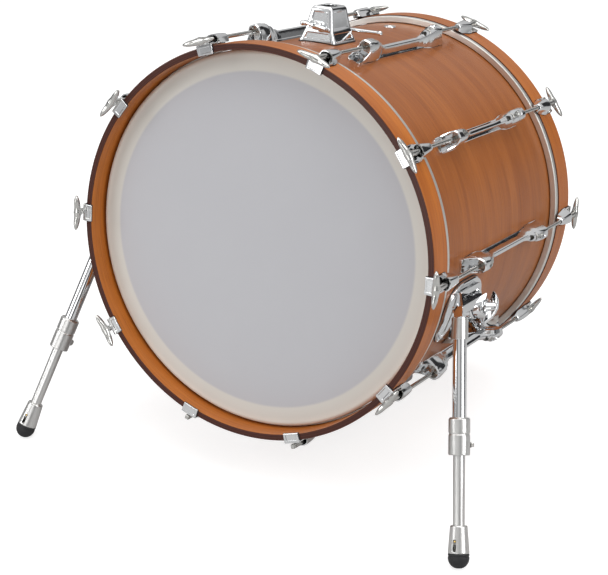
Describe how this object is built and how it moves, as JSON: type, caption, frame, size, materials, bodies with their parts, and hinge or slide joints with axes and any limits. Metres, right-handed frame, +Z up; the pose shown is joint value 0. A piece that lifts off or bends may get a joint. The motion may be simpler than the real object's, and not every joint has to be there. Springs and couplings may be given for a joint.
{
  "type": "bass drum",
  "caption": "Deep wooden bass drum with claw-hooked hoops, bridge lugs, winged tension rods, a post receiver on top and two folding telescopic spurs.",
  "frame": {"origin": "on the floor, under the middle of the object's box", "axes": "+Z up, the front head faces -Y, +X to the right seen from the front; the drum is tipped back on its spurs"},
  "size_m": [0.7838, 0.6816, 0.6656],
  "materials": {
    "shell_wood": "satin stained",
    "hoop_wood": "satin stained",
    "coated_film": "coated",
    "chrome": "polished",
    "satin_aluminium": "satin",
    "steel": "brushed",
    "brass": "satin",
    "rubber": "matte"
  },
  "bodies": {
    "drum": {"shell": "shell_wood", "front_head": "coated_film", "rear_head": "coated_film", "front_flesh_hoop": "satin_aluminium", "rear_flesh_hoop": "satin_aluminium", "front_hoop": "hoop_wood", "rear_hoop": "hoop_wood", "front_claws": "chrome", "rear_claws": "chrome", "claw_gaskets": "rubber", "rod_washers": "steel", "lugs": "chrome", "swivel_nuts": "brass", "shell_screws": "steel", "vent_grommet": "chrome", "tom_receiver": "chrome", "mount_gaskets": "rubber", "spur_bases": "chrome"},
    "front_rod_1": {"front_rod_1": "chrome"},
    "front_rod_2": {"front_rod_2": "chrome"},
    "front_rod_3": {"front_rod_3": "chrome"},
    "front_rod_4": {"front_rod_4": "chrome"},
    "front_rod_5": {"front_rod_5": "chrome"},
    "front_rod_6": {"front_rod_6": "chrome"},
    "front_rod_7": {"front_rod_7": "chrome"},
    "front_rod_8": {"front_rod_8": "chrome"},
    "front_rod_9": {"front_rod_9": "chrome"},
    "front_rod_10": {"front_rod_10": "chrome"},
    "rear_rod_1": {"rear_rod_1": "chrome"},
    "rear_rod_2": {"rear_rod_2": "chrome"},
    "rear_rod_3": {"rear_rod_3": "chrome"},
    "rear_rod_4": {"rear_rod_4": "chrome"},
    "rear_rod_5": {"rear_rod_5": "chrome"},
    "rear_rod_6": {"rear_rod_6": "chrome"},
    "rear_rod_7": {"rear_rod_7": "chrome"},
    "rear_rod_8": {"rear_rod_8": "chrome"},
    "rear_rod_9": {"rear_rod_9": "chrome"},
    "rear_rod_10": {"rear_rod_10": "chrome"},
    "receiver_front_bolt": {"receiver_front_bolt": "chrome"},
    "receiver_rear_bolt": {"receiver_rear_bolt": "chrome"},
    "right_spur": {"right_arm": "chrome", "right_upper_tube": "chrome", "right_collar": "satin_aluminium"},
    "right_wing_nut": {"right_wing_nut": "chrome"},
    "right_collar_bolt": {"right_collar_bolt": "steel"},
    "right_lower_leg": {"right_lower_tube": "satin_aluminium", "right_lock_pin": "brass", "right_spike": "steel"},
    "right_foot": {"right_ferrule": "satin_aluminium", "right_rubber_foot": "rubber"},
    "left_spur": {"left_arm": "chrome", "left_upper_tube": "chrome", "left_collar": "satin_aluminium"},
    "left_wing_nut": {"left_wing_nut": "chrome"},
    "left_collar_bolt": {"left_collar_bolt": "steel"},
    "left_lower_leg": {"left_lower_tube": "satin_aluminium", "left_lock_pin": "brass", "left_spike": "steel"},
    "left_foot": {"left_ferrule": "satin_aluminium", "left_rubber_foot": "rubber"}
  },
  "joints": [
    {"name": "front_rod_1_turn", "type": "hinge", "parent": "drum", "child": "front_rod_1", "pos_m": [0.09224, -0.15996, 0.64482], "axis": [0, 0.9869, -0.1616], "continuous": true},
    {"name": "front_rod_2_turn", "type": "hinge", "parent": "drum", "child": "front_rod_2", "pos_m": [0.24149, -0.17748, 0.53781], "axis": [0, 0.9869, -0.1616], "continuous": true},
    {"name": "front_rod_3_turn", "type": "hinge", "parent": "drum", "child": "front_rod_3", "pos_m": [0.2985, -0.20583, 0.36467], "axis": [0, 0.9869, -0.1616], "continuous": true},
    {"name": "front_rod_4_turn", "type": "hinge", "parent": "drum", "child": "front_rod_4", "pos_m": [0.24149, -0.23419, 0.19152], "axis": [0, 0.9869, -0.1616], "continuous": true},
    {"name": "front_rod_5_turn", "type": "hinge", "parent": "drum", "child": "front_rod_5", "pos_m": [0.09224, -0.25171, 0.08451], "axis": [0, 0.9869, -0.1616], "continuous": true},
    {"name": "front_rod_6_turn", "type": "hinge", "parent": "drum", "child": "front_rod_6", "pos_m": [-0.09224, -0.25171, 0.08451], "axis": [0, 0.9869, -0.1616], "continuous": true},
    {"name": "front_rod_7_turn", "type": "hinge", "parent": "drum", "child": "front_rod_7", "pos_m": [-0.24149, -0.23419, 0.19152], "axis": [0, 0.9869, -0.1616], "continuous": true},
    {"name": "front_rod_8_turn", "type": "hinge", "parent": "drum", "child": "front_rod_8", "pos_m": [-0.2985, -0.20583, 0.36467], "axis": [0, 0.9869, -0.1616], "continuous": true},
    {"name": "front_rod_9_turn", "type": "hinge", "parent": "drum", "child": "front_rod_9", "pos_m": [-0.24149, -0.17748, 0.53781], "axis": [0, 0.9869, -0.1616], "continuous": true},
    {"name": "front_rod_10_turn", "type": "hinge", "parent": "drum", "child": "front_rod_10", "pos_m": [-0.09224, -0.15996, 0.64482], "axis": [0, 0.9869, -0.1616], "continuous": true},
    {"name": "rear_rod_1_turn", "type": "hinge", "parent": "drum", "child": "rear_rod_1", "pos_m": [0.09224, 0.29104, 0.57097], "axis": [0, 0.9869, -0.1616], "continuous": true},
    {"name": "rear_rod_2_turn", "type": "hinge", "parent": "drum", "child": "rear_rod_2", "pos_m": [0.24149, 0.27351, 0.46396], "axis": [0, 0.9869, -0.1616], "continuous": true},
    {"name": "rear_rod_3_turn", "type": "hinge", "parent": "drum", "child": "rear_rod_3", "pos_m": [0.2985, 0.24516, 0.29081], "axis": [0, 0.9869, -0.1616], "continuous": true},
    {"name": "rear_rod_4_turn", "type": "hinge", "parent": "drum", "child": "rear_rod_4", "pos_m": [0.24149, 0.2168, 0.11767], "axis": [0, 0.9869, -0.1616], "continuous": true},
    {"name": "rear_rod_5_turn", "type": "hinge", "parent": "drum", "child": "rear_rod_5", "pos_m": [0.09224, 0.19928, 0.01065], "axis": [0, 0.9869, -0.1616], "continuous": true},
    {"name": "rear_rod_6_turn", "type": "hinge", "parent": "drum", "child": "rear_rod_6", "pos_m": [-0.09224, 0.19928, 0.01065], "axis": [0, 0.9869, -0.1616], "continuous": true},
    {"name": "rear_rod_7_turn", "type": "hinge", "parent": "drum", "child": "rear_rod_7", "pos_m": [-0.24149, 0.2168, 0.11767], "axis": [0, 0.9869, -0.1616], "continuous": true},
    {"name": "rear_rod_8_turn", "type": "hinge", "parent": "drum", "child": "rear_rod_8", "pos_m": [-0.2985, 0.24516, 0.29081], "axis": [0, 0.9869, -0.1616], "continuous": true},
    {"name": "rear_rod_9_turn", "type": "hinge", "parent": "drum", "child": "rear_rod_9", "pos_m": [-0.24149, 0.27351, 0.46396], "axis": [0, 0.9869, -0.1616], "continuous": true},
    {"name": "rear_rod_10_turn", "type": "hinge", "parent": "drum", "child": "rear_rod_10", "pos_m": [-0.09224, 0.29104, 0.57097], "axis": [0, 0.9869, -0.1616], "continuous": true},
    {"name": "receiver_front_bolt_turn", "type": "hinge", "parent": "drum", "child": "receiver_front_bolt", "pos_m": [0, -0.02372, 0.64137], "axis": [0, 0.9869, -0.1616], "continuous": true},
    {"name": "receiver_rear_bolt_turn", "type": "hinge", "parent": "drum", "child": "receiver_rear_bolt", "pos_m": [0, 0.03371, 0.62082], "axis": [0, 0.9869, -0.1616], "range_deg": [-12, 12]},
    {"name": "right_spur_fold", "type": "hinge", "parent": "drum", "child": "right_spur", "pos_m": [0.30589, -0.10529, 0.2856], "axis": [0.9736, 0.0369, 0.2253], "range_deg": [0, 107.4]},
    {"name": "right_wing_nut_turn", "type": "hinge", "parent": "drum", "child": "right_wing_nut", "pos_m": [0.30589, -0.10529, 0.2856], "axis": [0.9736, 0.0369, 0.2253], "continuous": true},
    {"name": "right_collar_bolt_turn", "type": "hinge", "parent": "right_spur", "child": "right_collar_bolt", "pos_m": [0.34428, -0.24454, 0.14255], "axis": [-0.9736, -0.0369, -0.2253], "continuous": true},
    {"name": "right_leg_extend", "type": "slide", "parent": "right_spur", "child": "right_lower_leg", "axis": [0.2179, -0.4452, -0.8685], "range_m": [-0.065, 0.06]},
    {"name": "right_foot_retract", "type": "slide", "parent": "right_lower_leg", "child": "right_foot", "axis": [-0.2179, 0.4452, 0.8685], "range_m": [0, 0.0115]},
    {"name": "left_spur_fold", "type": "hinge", "parent": "drum", "child": "left_spur", "pos_m": [-0.30589, -0.10529, 0.2856], "axis": [0.9736, -0.0369, -0.2253], "range_deg": [0, 107.4]},
    {"name": "left_wing_nut_turn", "type": "hinge", "parent": "drum", "child": "left_wing_nut", "pos_m": [-0.30589, -0.10529, 0.2856], "axis": [0.9736, -0.0369, -0.2253], "continuous": true},
    {"name": "left_collar_bolt_turn", "type": "hinge", "parent": "left_spur", "child": "left_collar_bolt", "pos_m": [-0.34428, -0.24454, 0.14255], "axis": [0.9736, -0.0369, -0.2253], "continuous": true},
    {"name": "left_leg_extend", "type": "slide", "parent": "left_spur", "child": "left_lower_leg", "axis": [-0.2179, -0.4452, -0.8685], "range_m": [-0.065, 0.06]},
    {"name": "left_foot_retract", "type": "slide", "parent": "left_lower_leg", "child": "left_foot", "axis": [0.2179, 0.4452, 0.8685], "range_m": [0, 0.0115]}
  ]
}
